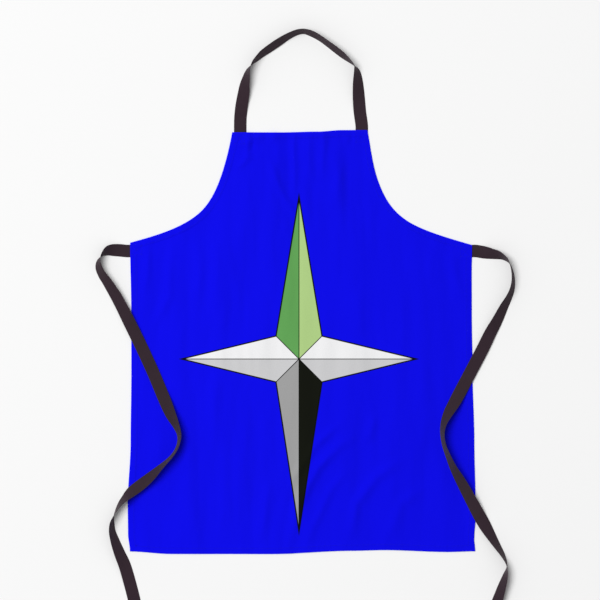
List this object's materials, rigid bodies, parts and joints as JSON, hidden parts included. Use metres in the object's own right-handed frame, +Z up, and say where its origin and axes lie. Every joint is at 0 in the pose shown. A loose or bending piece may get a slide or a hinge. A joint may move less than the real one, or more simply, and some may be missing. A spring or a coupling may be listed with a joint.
{
  "type": "bib apron",
  "caption": "Full-length bib apron laid flat, face up, with curved armholes, a neck strap looped above the bib and long waist ties of flat tape lying across the front.",
  "frame": {"origin": "on the surface the apron lies on, under the middle of the body panel", "axes": "+Y up the apron from the bottom hem to the neck, +X to the right side as the front is looked at, +Z up out of the printed front"},
  "size_m": [0.8367, 1.2334, 0.0279],
  "materials": {
    "cloth": "satin printed woven polyester",
    "tape": "matt woven twill tape",
    "thread": "satin sewing thread",
    "label": "matt"
  },
  "bodies": {
    "panel": {"body_panel": "cloth", "care_label": "label", "neck_strap_end_left": "tape", "neck_strap_end_right": "tape", "waist_tie_base_left": "tape", "waist_tie_base_right": "tape", "hem_thread_top": "thread", "hem_thread_bottom": "thread", "hem_thread_side_left": "thread", "hem_thread_side_right": "thread", "hem_thread_armhole_left": "thread", "hem_thread_armhole_right": "thread", "box_stitch_neck_left": "thread", "box_stitch_neck_right": "thread", "box_stitch_waist_left": "thread", "box_stitch_waist_right": "thread"},
    "strap": {"neck_strap": "tape"},
    "tie_left": {"waist_tie_left": "tape", "tie_end_thread_left": "tape"},
    "tie_right": {"waist_tie_right": "tape", "tie_end_thread_right": "tape"}
  },
  "joints": [
    {"name": "neck_strap_fold", "type": "hinge", "parent": "panel", "child": "strap", "pos_m": [0, 0.42185, 0.002], "axis": [1, 0, 0], "range_deg": [0, 160]},
    {"name": "waist_tie_left_swing", "type": "hinge", "parent": "panel", "child": "tie_left", "pos_m": [-0.40071, 0.17074, 0.0126], "axis": [0, 0, -1], "range_deg": [0, 90]},
    {"name": "waist_tie_right_swing", "type": "hinge", "parent": "panel", "child": "tie_right", "pos_m": [0.41681, 0.15778, 0.0126], "axis": [0, 0, 1], "range_deg": [0, 90]}
  ]
}
